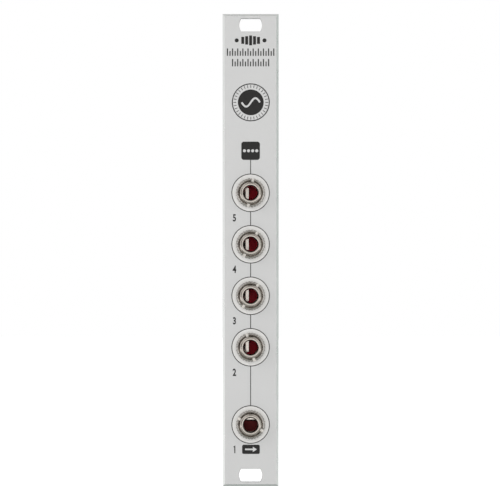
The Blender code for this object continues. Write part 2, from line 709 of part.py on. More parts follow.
def chip_mesh():
    """An amplifier chip lying on the board's rear face, with seven gull-wing leads a side."""
    foot_level = BOARD_REAR + SEAT_GAP + LEAD_THICKNESS / 2
    low = BOARD_REAR + SEAT_GAP + CHIP_STAND_OFF
    high = low + CHIP_HEIGHT
    half_width = CHIP_WIDTH / 2
    body = block(
        (-half_width, low, -CHIP_LENGTH / 2), (half_width, high, CHIP_LENGTH / 2), CHIP_BEVEL
    )
    shin = half_width + LEAD_REACH - LEAD_FOOT
    middle = (low + high) / 2
    path = (
        (half_width - LEAD_ROOT, middle),
        (shin - LEAD_THICKNESS, middle),
        (shin, foot_level),
        (half_width + LEAD_REACH, foot_level),
    )
    leads = []
    for row in range(LEAD_ROWS):
        height = (row - (LEAD_ROWS - 1) / 2) * LEAD_PITCH
        for side in (0.0, math.pi):
            lead = strip(centred(path, LEAD_WIDTH), LEAD_THICKNESS)
            lead.transform(Matrix.Rotation(side, 4, "Z"))
            stand = Matrix(((1, 0, 0, 0), (0, 0, 1, 0), (0, -1, 0, 0), (0, 0, 0, 1)))
            lead.transform(stand)
            leads.append(moved(lead, (0.0, 0.0, height)))
    return combined(body, leads, "UNION")


def capacitor_mesh():
    """A ceramic chip capacitor with a metal cap at each end."""
    low = BOARD_REAR + SEAT_GAP
    half_length = CAPACITOR_LENGTH / 2
    half_width = CAPACITOR_WIDTH / 2
    proud = CAPACITOR_CAP_PROUD
    body = block(
        (-half_width, low + proud, -half_length + CAPACITOR_CAP / 2),
        (half_width, low + proud + CAPACITOR_HEIGHT, half_length - CAPACITOR_CAP / 2),
    )
    caps = []
    for side in (-1, 1):
        outer = side * half_length
        inner = outer - side * CAPACITOR_CAP
        caps.append(
            block(
                (-half_width - proud, low, min(outer, inner)),
                (half_width + proud, low + CAPACITOR_HEIGHT + 2 * proud, max(outer, inner)),
            )
        )
    return combined(body, caps, "UNION")


def add_chips(finishes):
    chip = chip_mesh()
    capacitor = capacitor_mesh()
    count = 0
    for number, index in enumerate(CHIPS_ABOVE_SOCKETS, start=1):
        height = socket_height(SOCKETS[index]) + CHIP_ABOVE_SOCKET
        put(f"amplifier_chip_{number}", chip, finishes["chip_epoxy"], location=(0.0, 0.0, height))
        for side in (-1, 1):
            count += 1
            put(
                f"bypass_capacitor_{count}",
                capacitor,
                finishes["ceramic"],
                location=(CAPACITOR_ASIDE, 0.0, height + side * CAPACITOR_SPREAD / 2),
            )


def main():
    clear_scene()
    collection = bpy.data.collections.new("synth_module")
    bpy.context.scene.collection.children.link(collection)
    finishes = {
        "panel_metal": material("panel_metal", (0.62, 0.62, 0.61), 0.45, 0.2),
        "nickel": material("nickel", (0.72, 0.70, 0.64), 0.25, 1.0),
        "housing_plastic": material("housing_plastic", (0.02, 0.02, 0.02), 0.5, 0.0),
        "base_plastic": material("base_plastic", (0.35, 0.01, 0.02), 0.45, 0.0),
        "tinned_strip": material("tinned_strip", (0.75, 0.74, 0.70), 0.35, 1.0),
        "spring_metal": material("spring_metal", (0.80, 0.76, 0.70), 0.3, 1.0),
        "board": material("board", (0.02, 0.12, 0.06), 0.4, 0.0),
        "header_plastic": material("header_plastic", (0.015, 0.015, 0.015), 0.45, 0.0),
        "gold": material("gold", (0.85, 0.62, 0.25), 0.25, 1.0),
        "chip_epoxy": material("chip_epoxy", (0.02, 0.02, 0.022), 0.55, 0.0),
        "ceramic": material("ceramic", (0.45, 0.33, 0.22), 0.5, 0.0),
    }
    put("front_panel", front_panel_mesh(), finishes["panel_metal"])
    add_sockets(finishes)
    put("circuit_board", board_mesh(), finishes["board"])
    add_header(finishes)
    add_chips(finishes)


main()
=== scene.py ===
import math

import bmesh
import bpy
from mathutils import Matrix, Vector


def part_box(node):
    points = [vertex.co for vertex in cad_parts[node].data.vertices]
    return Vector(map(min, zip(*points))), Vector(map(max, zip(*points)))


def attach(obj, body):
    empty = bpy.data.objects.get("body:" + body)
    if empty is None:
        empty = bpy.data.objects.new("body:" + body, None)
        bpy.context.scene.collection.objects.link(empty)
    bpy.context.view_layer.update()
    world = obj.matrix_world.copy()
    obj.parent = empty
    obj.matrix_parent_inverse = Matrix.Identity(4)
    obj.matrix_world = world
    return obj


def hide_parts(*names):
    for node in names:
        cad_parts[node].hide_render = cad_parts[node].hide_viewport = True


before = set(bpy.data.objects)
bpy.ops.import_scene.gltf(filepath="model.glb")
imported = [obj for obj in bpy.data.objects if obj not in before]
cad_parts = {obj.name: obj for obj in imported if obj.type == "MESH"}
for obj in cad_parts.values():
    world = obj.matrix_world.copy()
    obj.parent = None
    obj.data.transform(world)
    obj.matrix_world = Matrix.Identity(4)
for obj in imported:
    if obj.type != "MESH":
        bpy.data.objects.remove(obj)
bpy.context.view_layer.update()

mm = 0.001
degree = math.pi / 180
slack = 1.01  # for picking the faces that lie within a size, rounding apart
overrun = 1.0 * mm  # how far a cutter stands out
print("frame loaded")


# places taken from the frame
panelLow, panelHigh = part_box("front_panel")
faceY = panelLow.y
panelMiddle = (panelLow.z + panelHigh.z) / 2
halfPanel = (panelHigh.z - panelLow.z) / 2
boardLow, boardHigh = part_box("circuit_board")
boardRear = boardHigh.y
jackNumbers = (1, 2, 3, 4, 5)
upperJacks = jackNumbers[1:]
headerPinNames = sorted(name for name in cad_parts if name.startswith("header_pin"))


def middleOf(node):
    low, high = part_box(node)
    return (low + high) / 2


def jackCentre(number):
    return middleOf(f"jack_{number}_nut").z


# small helpers
def addObject(name, data):
    obj = bpy.data.objects.new(name, data)
    bpy.context.scene.collection.objects.link(obj)
    return obj


def meshObject(name, bm):
    mesh = bpy.data.meshes.new(name)
    bm.to_mesh(mesh)
    bm.free()
    return addObject(name, mesh)


def solidObject(name, bm):  # with its faces turned outwards
    bmesh.ops.recalc_face_normals(bm, faces=bm.faces)
    return meshObject(name, bm)


def bake(obj):  # swaps an object for a mesh with its modifiers applied
    bpy.context.view_layer.update()
    graph = bpy.context.evaluated_depsgraph_get()
    mesh = bpy.data.meshes.new_from_object(obj.evaluated_get(graph))
    name, place = obj.name, obj.matrix_world.copy()
    bpy.data.objects.remove(obj)
    made = addObject(name, mesh)
    made.matrix_world = place
    return made


def weld(obj, distance=0.00002 * mm):
    bm = bmesh.new()
    bm.from_mesh(obj.data)
    bmesh.ops.remove_doubles(bm, verts=bm.verts, dist=distance)
    bmesh.ops.recalc_face_normals(bm, faces=bm.faces)
    bm.to_mesh(obj.data)
    bm.free()


def dress(obj, finish, body="module", replaces=(), sharp=35):  # sharp is in degrees
    obj.data.materials.clear()
    obj.data.materials.append(finishes[finish])
    obj.data.shade_smooth()
    obj.data.set_sharp_from_angle(angle=sharp * degree)
    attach(obj, body)
    if replaces:
        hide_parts(*replaces)
    return obj


def cutBy(obj, cutters):
    for cutter in cutters:
        boolean = obj.modifiers.new("cut", "BOOLEAN")
        boolean.operation = "DIFFERENCE"
        boolean.object = cutter
    made = bake(obj)
    for cutter in cutters:
        bpy.data.objects.remove(cutter)
    return made


def bridge(bm, here, there):  # a strip of faces between two rings of points
    for i in range(len(here)):
        j = (i + 1) % len(here)
        bm.faces.new((here[i], here[j], there[j], there[i]))


def addLathe(bm, profile, sides, shape=None, place=(0, 0)):  # turns a closed profile of radius and y
    x, z = place
    rings = []
    for step in range(sides):
        angle = 2 * math.pi * step / sides
        ring = []
        for radius, y in profile:
            r, level = shape(radius, y, angle) if shape else (radius, y)
            ring.append(bm.verts.new((x + r * math.cos(angle), level, z + r * math.sin(angle))))
        rings.append(ring)
    for here, there in zip(rings, rings[1:] + rings[:1]):
        bridge(bm, here, there)


def lathe(name, profile, sides, shape=None):
    bm = bmesh.new()
    addLathe(bm, profile, sides, shape)
    return solidObject(name, bm)


def addLoft(bm, outlines):  # closes a row of outlines, given as lists of places, into one body
    rings = [[bm.verts.new(place) for place in outline] for outline in outlines]
    for here, there in zip(rings, rings[1:]):
        bridge(bm, here, there)
    bm.faces.new(rings[0])
    bm.faces.new(rings[-1])


def loft(name, outlines):
    bm = bmesh.new()
    addLoft(bm, outlines)
    return solidObject(name, bm)


def addBox(bm, low, high, bevel=0):
    low, high = Vector(low), Vector(high)
    place = Matrix.Translation((low + high) / 2) @ Matrix.Diagonal((*(high - low), 1))
    made = bmesh.ops.create_cube(bm, size=1, matrix=place)
    if bevel:
        edges = {edge for vert in made["verts"] for edge in vert.link_edges}
        bmesh.ops.bevel(bm, geom=list(edges), offset=bevel, segments=2, affect="EDGES", profile=0.5)


def boxMesh(name, low, high, bevel=0):
    bm = bmesh.new()
    addBox(bm, low, high, bevel)
    return meshObject(name, bm)


def pointsRound(x, y, radius, angles):
    return [(x + radius * math.cos(angle), y + radius * math.sin(angle)) for angle in angles]


def arcPoints(x, y, radius, start, end, steps):
    turn = (end - start) / steps
    return pointsRound(x, y, radius, [start + turn * step for step in range(steps + 1)])


def circlePoints(x, y, radius, steps=96):
    return pointsRound(x, y, radius, [2 * math.pi * step / steps for step in range(steps)])


def ringLine(radius, line):  # the two circles of a round line
    return [circlePoints(0, 0, radius + half) for half in (line / 2, -line / 2)]


def roundedBox(x, y, halfWidth, halfHeight, radius, steps=8):
    right, left = x + halfWidth - radius, x - halfWidth + radius
    top, bottom = y + halfHeight - radius, y - halfHeight + radius
    points = []
    for quarter, corner in enumerate(((right, top), (left, top), (left, bottom), (right, bottom))):
        start = quarter * math.pi / 2
        points += arcPoints(*corner, radius, start, start + math.pi / 2, steps)
    return points


def ribbon(points, width):  # the outline of a line of one width through some points
    points = [Vector(point) for point in points]
    sides = []
    for i, point in enumerate(points):
        back = (point - points[i - 1]).normalized() if i else None
        ahead = (points[i + 1] - point).normalized() if i < len(points) - 1 else None
        along = ((back or ahead) + (ahead or back)).normalized()
        reach = width / 2 / along.dot(ahead or back)
        sides.append((point, Vector((-along.y, along.x)) * reach))
    return [tuple(p + s) for p, s in sides] + [tuple(p - s) for p, s in reversed(sides)]


def flatPlate(name, outlines, thickness):  # the first outline is the edge, others are holes or more shapes
    curve = bpy.data.curves.new(name, "CURVE")
    curve.dimensions = "2D"
    curve.fill_mode = "BOTH"
    curve.extrude = thickness / 2
    for outline in outlines:
        spline = curve.splines.new("POLY")
        spline.points.add(len(outline) - 1)
        spline.use_cyclic_u = True
        for point, (x, y) in zip(spline.points, outline):
            point.co = (x, y, 0, 1)
    obj = bake(addObject(name, curve))
    weld(obj)
    return obj


def standUpright(obj, y):  # from the xy plane, with its middle at y
    obj.data.transform(Matrix.Translation((0, y, 0)) @ Matrix.Rotation(math.pi / 2, 4, "X"))


# materials
noise = {"broadDetail": 3, "fineDetail": 4, "span": (0.3, 0.7)}  # the span is what the noises fill


def addNode(tree, kind, **settings):
    node = tree.nodes.new("ShaderNode" + kind)
    for key, value in settings.items():
        setattr(node, key, value)
    return node


def addMath(tree, operation, *values, **settings):  # of sockets and numbers
    node = addNode(tree, "Math", operation=operation, **settings)
    for socket, value in zip(node.inputs, values):
        if isinstance(value, float):
            socket.default_value = value
        else:
            tree.links.new(value, socket)
    return node.outputs[0]


def addNoise(tree, coords, size, detail):
    texture = addNode(tree, "TexNoise")
    texture.inputs["Scale"].default_value = 1 / (size * mm)
    texture.inputs["Detail"].default_value = detail
    tree.links.new(coords.outputs["Object"], texture.inputs["Vector"])
    return texture.outputs["Fac"]


def addCutEdge(tree, coords, colour, edge):  # a sheet's cut edge, where the surface doesn't face along y
    link = tree.links.new
    parts = addNode(tree, "SeparateXYZ")
    link(coords.outputs["Normal"], parts.inputs["Vector"])
    facing = addMath(tree, "ABSOLUTE", parts.outputs["Y"])
    onFace = addMath(tree, "GREATER_THAN", facing, 0.5)
    pick = addNode(tree, "Mix", data_type="RGBA")
    pick.inputs["A"].default_value = (*edge, 1)
    link(onFace, pick.inputs["Factor"])
    link(colour, pick.inputs["B"])
    return pick.outputs["Result"]


def makeFinish(name, look):  # a Principled shader whose colour, roughness and bump follow two noises
    material = bpy.data.materials.new(name)
    material.use_nodes = True
    tree = material.node_tree
    link = tree.links.new
    shader = tree.nodes["Principled BSDF"]
    shader.inputs["Metallic"].default_value = look.get("metallic", 0)
    shader.inputs["Specular IOR Level"].default_value = look.get("specular", 0.5)
    shader.inputs["Coat Weight"].default_value = look.get("coat", 0)
    coords = addNode(tree, "TexCoord")
    broad = addNoise(tree, coords, look["patch"], noise["broadDetail"])
    fine = addNoise(tree, coords, look["grain"], noise["fineDetail"])
    blend = addNode(tree, "Mix", data_type="FLOAT")
    blend.inputs["Factor"].default_value = look.get("grainShare", 0.5)
    link(broad, blend.inputs["A"])
    link(fine, blend.inputs["B"])
    ramp = addNode(tree, "ValToRGB")
    stops = ramp.color_ramp.elements
    for stop, place, colour in zip(stops, noise["span"], (look["dark"], look["light"])):
        stop.position = place
        stop.color = (*colour, 1)
    link(blend.outputs["Result"], ramp.inputs["Fac"])
    colour = ramp.outputs["Color"]
    if "edge" in look:
        colour = addCutEdge(tree, coords, colour, look["edge"])
    link(colour, shader.inputs["Base Color"])
    rough = addNode(tree, "MapRange")
    rough.inputs["From Min"].default_value, rough.inputs["From Max"].default_value = noise["span"]
    rough.inputs["To Min"].default_value, rough.inputs["To Max"].default_value = look["roughness"]
    link(broad, rough.inputs["Value"])
    link(rough.outputs["Result"], shader.inputs["Roughness"])
    bump = addNode(tree, "Bump")
    bump.inputs["Strength"].default_value = look["bump"]
    bump.inputs["Distance"].default_value = look["depth"] * mm
    link(fine, bump.inputs["Height"])
    link(bump.outputs["Normal"], shader.inputs["Normal"])
    return material


# patch and grain are the sizes of the two noises and depth is the bump's, all in mm
looks = {
    "panel": dict(dark=(0.62, 0.62, 0.615), light=(0.65, 0.65, 0.645), metallic=0.1, roughness=(0.42, 0.5),
                  patch=9, grain=0.12, grainShare=0.4, bump=0.2, depth=0.008),
    "bevelMetal": dict(dark=(0.69, 0.7, 0.69), light=(0.76, 0.77, 0.76), metallic=1,
                       roughness=(0.25, 0.35), patch=3, grain=0.1, bump=0.2, depth=0.006),
    # painted shade: a dark grey for the walls of the faceplate's holes and slots, in place of the panel's
    # own colour
    "shadedHoleWall": dict(dark=(0.2, 0.22, 0.21), light=(0.26, 0.28, 0.27), metallic=0.2, roughness=(0.5, 0.6),
                     patch=3, grain=0.1, bump=0.2, depth=0.008),
    # a paler finish for the disc round each socket, under its ring of print
    "paleDiscFinish": dict(dark=(0.7, 0.69, 0.67), light=(0.8, 0.79, 0.77), metallic=0.25,
                      roughness=(0.34, 0.44), patch=0.8, grain=0.06, bump=0.25, depth=0.008),
    "ink": dict(dark=(0.014, 0.0135, 0.013), light=(0.022, 0.021, 0.02), roughness=(0.5, 0.62), patch=1.2,
                grain=0.06, bump=0.3, depth=0.01, specular=0.3),
    "bushingNickel": dict(dark=(0.43, 0.39, 0.35), light=(0.52, 0.475, 0.43), metallic=1,
                          roughness=(0.16, 0.26), patch=1.5, grain=0.08, bump=0.2, depth=0.005),
    # painted light: a far lighter copy of the bushing's nickel for the walls of its bore, which brightens
    # the inside of the bore
    "litBoreNickel": dict(dark=(0.8, 0.76, 0.71), light=(0.88, 0.84, 0.79), metallic=1,
                       roughness=(0.14, 0.22), patch=1.5, grain=0.08, bump=0.1, depth=0.004),
    "nutNickel": dict(dark=(0.4, 0.38, 0.355), light=(0.54, 0.51, 0.48), metallic=1, roughness=(0.2, 0.3),
                      patch=1.2, grain=0.07, bump=0.3, depth=0.008),
    # painted highlight: a lighter copy of the nut's nickel for the faces of its slot, so that the slot
    # shows bright
    "litSlotNickel": dict(dark=(0.54, 0.515, 0.475), light=(0.66, 0.63, 0.59), metallic=1,
                      roughness=(0.24, 0.34), patch=0.5, grain=0.05, bump=0.2, depth=0.005),
    "housing": dict(dark=(0.01, 0.01, 0.01), light=(0.018, 0.018, 0.018), roughness=(0.42, 0.58),
                    patch=3, grain=0.1, bump=0.3, depth=0.02),
    "redBase": dict(dark=(0.78, 0.022, 0.045), light=(0.86, 0.03, 0.06), roughness=(0.5, 0.6), patch=2,
                    grain=0.1, bump=0.2, depth=0.01, specular=0.25),
    # painted shade: a darker, browner copy of the red base for the lowest socket's plate
    "shadedRedBase": dict(dark=(0.27, 0.036, 0.036), light=(0.34, 0.048, 0.048), roughness=(0.5, 0.6), patch=2,
                      grain=0.1, bump=0.2, depth=0.01, specular=0.25),
    "tin": dict(dark=(0.58, 0.56, 0.53), light=(0.72, 0.7, 0.66), metallic=1, roughness=(0.3, 0.45),
                patch=0.8, grain=0.05, bump=0.25, depth=0.006),
    "solder": dict(dark=(0.6, 0.6, 0.59), light=(0.74, 0.74, 0.73), metallic=1, roughness=(0.18, 0.34),
                   patch=0.6, grain=0.08, bump=0.25, depth=0.01),
    "leaf": dict(dark=(0.54, 0.48, 0.43), light=(0.82, 0.77, 0.71), metallic=0.85, roughness=(0.1, 0.2),
                 patch=0.8, grain=0.05, bump=0.12, depth=0.004),
    "gold": dict(dark=(0.74, 0.5, 0.18), light=(0.86, 0.64, 0.28), metallic=1, roughness=(0.2, 0.3),
                 patch=0.8, grain=0.05, bump=0.15, depth=0.004),
    "headerPlastic": dict(dark=(0.01, 0.01, 0.01), light=(0.017, 0.017, 0.017), roughness=(0.35, 0.5),
                          patch=3, grain=0.09, bump=0.25, depth=0.015),
    "epoxy": dict(dark=(0.016, 0.016, 0.017), light=(0.026, 0.026, 0.028), roughness=(0.55, 0.7),
                  patch=1.5, grain=0.05, bump=0.4, depth=0.012),
    "mask": dict(dark=(0.01, 0.04, 0.024), light=(0.016, 0.054, 0.031), roughness=(0.22, 0.32), patch=4,
                 grain=0.25, bump=0.12, depth=0.01, coat=0.3, edge=(0.3, 0.27, 0.13)),
    "maskedCopper": dict(dark=(0.02, 0.085, 0.045), light=(0.03, 0.105, 0.056), roughness=(0.22, 0.32),
                         patch=2, grain=0.25, bump=0.12, depth=0.01, coat=0.3),
    "legend": dict(dark=(0.66, 0.66, 0.63), light=(0.78, 0.78, 0.75), roughness=(0.5, 0.65), patch=0.5,
                   grain=0.06, bump=0.2, depth=0.006),
    "capCeramic": dict(dark=(0.38, 0.26, 0.16), light=(0.46, 0.33, 0.21), roughness=(0.4, 0.5), patch=0.7,
                       grain=0.05, bump=0.3, depth=0.008),
    "resistorGlaze": dict(dark=(0.012, 0.012, 0.013), light=(0.02, 0.02, 0.022), roughness=(0.25, 0.35),
                          patch=0.6, grain=0.05, bump=0.2, depth=0.006),
    "floor": dict(dark=(0.8, 0.8, 0.8), light=(0.83, 0.83, 0.83), roughness=(0.6, 0.7), patch=200,
                  grain=2, bump=0.05, depth=0.1),
}
finishes = {name: makeFinish(name, look) for name, look in looks.items()}
print("materials made")


# the CAD nodes that keep their shape
keptPieces = {"base_plate": "redBase", "sleeve_terminal": "tin", "tip_terminal": "tin",
              "switch_terminal": "tin"}
keptNodes = {"circuit_board": "mask"}
for number in jackNumbers:
    for piece, finish in keptPieces.items():
        keptNodes[f"jack_{number}_{piece}"] = finish
keptNodes["jack_1_base_plate"] = "shadedRedBase"  # the lowest socket's plate gets a darker, browner copy of the red, which is painted shade
keptNodes["jack_1_tip_spring"] = "leaf"
for name in headerPinNames:
    keptNodes[name] = "gold"
for name, finish in keptNodes.items():
    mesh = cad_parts[name].data
    mesh.materials.clear()
    mesh.materials.append(finishes[finish])
print("frame dressed")


# the moulded pieces, with their edges rounded. The angles are in degrees.
moulding = {"edge": 0.12 * mm, "steps": 2, "sharpest": 50, "flat": 0.5, "sharp": 20, "weld": 0.001 * mm}


def copyOf(node, name):
    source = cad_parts[node]
    obj = addObject(name, source.data.copy())
    obj.matrix_world = source.matrix_world
    weld(obj, moulding["weld"])
    return obj


def mouldedPiece(node, finish):
    obj = copyOf(node, f"{node}_moulding")
    bm = bmesh.new()
    bm.from_mesh(obj.data)
    bmesh.ops.dissolve_limit(bm, angle_limit=moulding["flat"] * degree, verts=bm.verts, edges=bm.edges)
    bm.to_mesh(obj.data)
    bm.free()
    bevel = obj.modifiers.new("edges", "BEVEL")
    bevel.width = moulding["edge"]
    bevel.segments = moulding["steps"]
    bevel.limit_method = "ANGLE"
    bevel.angle_limit = moulding["sharpest"] * degree
    dress(bake(obj), finish, replaces=[node], sharp=moulding["sharp"])


for number in jackNumbers:
    mouldedPiece(f"jack_{number}_housing", "housing")
mouldedPiece("header_shroud", "headerPlastic")
print("mouldings made")


# the upper sockets' springs, with the crest that meets the plug pressed squarer. The strip's points at the
# crest go where the pressed list says, in their order from the front: each one's depth behind the crest's
# front and its distance out from the crest's reach, in mm. Less than nothing is nearer the bore's axis.
leaf = {"pressed": ((0.017, -0.008), (0.125, -0.073), (0.265, 0.250), (0.325, 0.190),
                    (0.455, 0.180), (0.505, -0.068), (0.585, 0.270), (0.710, 0.060)),
        "frontZone": 0.5 * mm, "crestHeight": 0.36 * mm, "crestLength": 0.9 * mm, "sharp": 20}


def makeLeaf(number):
    node = f"jack_{number}_tip_spring"
    obj = copyOf(node, f"spring_leaf_{number}")
    verts = obj.data.vertices
    reach = max(vert.co.x for vert in verts)
    front = min(vert.co.y for vert in verts if vert.co.x > reach - leaf["frontZone"])
    crest = [vert for vert in verts
             if vert.co.x > reach - leaf["crestHeight"] and vert.co.y < front + leaf["crestLength"]]
    crest.sort(key=lambda vert: vert.co.y)
    perPoint = len(crest) // len(leaf["pressed"])  # one on each edge of the strip
    for index, vert in enumerate(crest):
        depth, distance = leaf["pressed"][index // perPoint]
        vert.co.x = reach - distance * mm
        vert.co.y = front + depth * mm
    dress(obj, "leaf", f"jack_{number}_spring", [node], leaf["sharp"])


for number in upperJacks:
    makeLeaf(number)
print("springs made")


# the faceplate, with a rounded front edge and softened holes, and painted shade on the walls of its holes
# and slots
faceplate = {"edge": 0.6 * mm, "rim": 0.12 * mm, "holeGap": 0.15 * mm, "slotWidth": 6.2 * mm,
             "slotHeight": 3.5 * mm, "slotInset": 3.0 * mm, "slotSteps": 20, "bevelTilt": (0.3, 0.9),
             "sharp": 30}


def slotPoints(grow):  # flat above and below, with its two ends on one circle
    radius = faceplate["slotWidth"] / 2 + grow
    corner = math.asin((faceplate["slotHeight"] / 2 + grow) / radius)
    ends = [arcPoints(0, 0, radius, side - corner, side + corner, faceplate["slotSteps"])
            for side in (0, math.pi)]
    return ends[0] + ends[1]


def makeFaceplate():
    bm = bmesh.new()
    addBox(bm, panelLow, panelHigh)
    front = [edge for edge in bm.edges if all(vert.co.y < faceY + faceplate["edge"] for vert in edge.verts)]
    bmesh.ops.bevel(bm, geom=front, offset=faceplate["edge"], segments=1, affect="EDGES")
    plate = meshObject("faceplate", bm)
    rim = faceplate["rim"]
    levels = ((rim + overrun, faceY - overrun), (0, faceY + rim), (0, overrun))  # a hole's growth at each y
    cutters = []
    for number in jackNumbers:
        low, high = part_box(f"jack_{number}_bushing")
        radius = (high.x - low.x) / 2 + faceplate["holeGap"]
        outlines = [[(x, y, z) for x, z in circlePoints(0, 0, radius + grow)] for grow, y in levels]
        cutter = loft("cutter", outlines)
        cutter.location = (0, 0, jackCentre(number))
        cutters.append(cutter)
    for slotZ in (panelLow.z + faceplate["slotInset"], panelHigh.z - faceplate["slotInset"]):
        outlines = [[(x, y, slotZ + z) for x, z in slotPoints(grow)] for grow, y in levels]
        cutters.append(loft("cutter", outlines))
    plate = cutBy(plate, cutters)
    dress(plate, "panel", replaces=["front_panel"], sharp=faceplate["sharp"])
    plate.data.materials.append(finishes["bevelMetal"])
    plate.data.materials.append(finishes["shadedHoleWall"])
    flattest, steepest = faceplate["bevelTilt"]
    for face in plate.data.polygons:
        x, z = abs(face.center.x), abs(face.center.z - panelMiddle)
        inside = min(panelHigh.x - x, halfPanel - z)
        tilt = abs(face.normal.y)
        if inside < faceplate["edge"] and flattest < tilt < steepest:
            face.material_index = 1
        # faces on the walls of the holes and slots take the dark grey, which is painted shade
        elif inside > faceplate["edge"] and tilt < flattest:
            face.material_index = 2


makeFaceplate()
print("faceplate made")


# the threaded bushings. The end is the mouth's profile, as radius and depth in mm.
bushing = {"pitch": 0.5 * mm, "threadDepth": 0.27 * mm, "rowsPerTurn": 8, "sides": 72,
           "threadStart": 0.4 * mm, "threadFade": 0.15, "bore": 1.85 * mm, "taper": 1.0 * mm,
           "neck": 2.5 * mm, "rivet": 2.85 * mm, "rivetLength": 0.3 * mm, "sharp": 40,
           "end": ((2.1, 0.1), (2.13, 0.03), (2.2, 0.0), (2.5, 0.0), (2.62, 0.04), (2.74, 0.13),
                   (2.84, 0.28))}


def makeBushing(number):
    low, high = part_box(f"jack_{number}_bushing")
    threadRadius = (high.x - low.x) / 2
    mouth, rear = low.y, high.y
    rowGap = bushing["pitch"] / bushing["rowsPerTurn"]
    threadTop = mouth + bushing["threadStart"]
    rows = int(-threadTop / rowGap)
    thread = [(threadRadius, threadTop + rowGap * row) for row in range(rows)]
    threadEnd = thread[-1][1]
    rivetFront = rear - bushing["rivetLength"]
    profile = [
        *[(r * mm, mouth + back * mm) for r, back in bushing["end"]], *thread,
        (threadRadius, 0), (bushing["neck"], 0), (bushing["neck"], rivetFront),
        (bushing["rivet"], rivetFront), (bushing["rivet"], rear), (bushing["bore"], rear),
        (bushing["bore"], mouth + bushing["taper"]),
    ]

    def helix(radius, y, angle):
        if radius < threadRadius or y > threadEnd:
            return radius, y
        phase = (y / bushing["pitch"] - angle / (2 * math.pi)) % 1
        fade = min(1, (y - threadTop) / (bushing["pitch"] / 2) + bushing["threadFade"])
        return radius - bushing["threadDepth"] * abs(2 * phase - 1) * fade, y

    obj = lathe(f"bushing_{number}", profile, bushing["sides"], helix)
    obj.location = (0, 0, jackCentre(number))
    dress(obj, "bushingNickel", replaces=[f"jack_{number}_bushing"], sharp=bushing["sharp"])
    obj.data.materials.append(finishes["litBoreNickel"])
    # the faces of the bore take the lighter nickel, which is painted light
    for face in obj.data.polygons:
        if math.hypot(face.center.x, face.center.z) < bushing["bore"] * slack:
            face.material_index = 1


# the knurled nuts. The dome is the front's profile, as radius and depth in mm.
nut = {"teeth": 30, "toothDepth": 0.19 * mm, "stepsPerTooth": 6, "toothLean": 0.6, "knurlFrom": 3.5 * mm,
       "slotAngles": (153, 106, 56, 60, 80), "slotWidth": 0.72 * mm, "slotDepth": 0.7 * mm,
       "slotReach": 1.3, "bore": 3.0 * mm, "edge": 0.12 * mm, "sharp": 24,
       "dome": ((3.0, 0.75), (3.34, 0.04), (3.42, 0.0), (3.58, 0.05), (3.76, 0.17), (3.9, 0.34),
                (4.0, 0.56))}


def makeNut(number):
    low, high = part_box(f"jack_{number}_nut")
    radius = (high.z - low.z) / 2
    front, rear = low.y, high.y
    profile = [(r * mm, front + back * mm) for r, back in nut["dome"]]
    profile += [(radius, rear - nut["edge"]), (radius - nut["edge"], rear), (nut["bore"], rear)]

    def knurl(r, y, angle):  # the notches deepen towards the rim
        if r < nut["knurlFrom"]:
            return r, y
        phase = (angle / (2 * math.pi) * nut["teeth"]) % 1
        share = (r - nut["knurlFrom"]) / (radius - nut["knurlFrom"])
        notch = nut["toothDepth"] * (1 - abs(2 * phase - 1)) * share
        return r - notch, y + notch * nut["toothLean"] if y < (front + rear) / 2 else y

    obj = lathe(f"nut_{number}", profile, nut["teeth"] * nut["stepsPerTooth"], knurl)
    reach = radius * nut["slotReach"]
    half = nut["slotWidth"] / 2
    turn = Matrix.Rotation(-nut["slotAngles"][number - 1] * degree, 4, "Y")
    slot = boxMesh("slot", (-reach, front - reach, -half), (reach, front + nut["slotDepth"], half))
    slot.data.transform(turn)
    obj = cutBy(obj, [slot])
    obj.location = (0, 0, jackCentre(number))
    dress(obj, "nutNickel", replaces=[f"jack_{number}_nut"], sharp=nut["sharp"])
    obj.data.materials.append(finishes["litSlotNickel"])
    # the faces of the slot take the lighter nickel, which is a painted highlight
    for face in obj.data.polygons:
        centre = turn.inverted() @ face.center
        if abs(centre.z) < half * slack and centre.y < front + nut["slotDepth"] * slack:
            face.material_index = 1


for number in jackNumbers:
    makeBushing(number)
    makeNut(number)
print("bushings and nuts made")


# the print on the panel, and a paler disc round each socket, under its ring of print
ink = {"thickness": 0.03 * mm, "proud": 0.02 * mm}
paleDisc = {"thickness": 0.02 * mm, "proud": 0.008 * mm, "inner": 3.25 * mm}
rings = {"radius": 5.1 * mm, "line": 0.22 * mm}
guide = {"line": 0.21 * mm, "overlap": 0.03 * mm}
square = {"half": 2.52 * mm, "low": 24.55 * mm, "high": 29.52 * mm, "corner": 0.72 * mm}


def layOn(figure, x, z, layer, finish):  # lays a flat figure on the panel's face
    figure.data.transform(Matrix.Translation((x, z, 0)))
    standUpright(figure, faceY - layer["proud"] + layer["thickness"] / 2)
    dress(figure, finish)


def printed(name, outlines, x, z):
    layOn(flatPlate(name, outlines, ink["thickness"]), x, z, ink, "ink")


def makeRings():
    spot = [circlePoints(0, 0, rings["radius"]), circlePoints(0, 0, paleDisc["inner"])]
    for number in jackNumbers:
        z = jackCentre(number)
        printed(f"ring_print_{number}", ringLine(rings["radius"], rings["line"]), 0, z)
        plate = flatPlate(f"pale_disc_{number}", spot, paleDisc["thickness"])
        layOn(plate, 0, z, paleDisc, "paleDiscFinish")


def makeGuideLines():  # from ring to ring, and from the last one to the dark square
    reach = rings["radius"] + rings["line"] / 2
    starts = [jackCentre(number) + reach for number in jackNumbers]
    ends = [jackCentre(number) - reach for number in upperJacks] + [panelMiddle + square["low"]]
    for number, (start, end) in enumerate(zip(starts, ends), start=1):
        line = ribbon([(0, start - guide["overlap"]), (0, end + guide["overlap"])], guide["line"])
        printed(f"guide_line_{number}", [line], 0, 0)


# plain figures beside the sockets. The 1 is a bent stroke, its points in mm from its middle.
numbers = {"height": 2.0 * mm, "x": -4.4 * mm, "below": 6.8 * mm, "narrow": 0.72, "weight": 0.03,
           "one": ((-0.24, 0.66), (0.1, 0.88), (0.1, -1.0)), "stroke": 0.27 * mm}


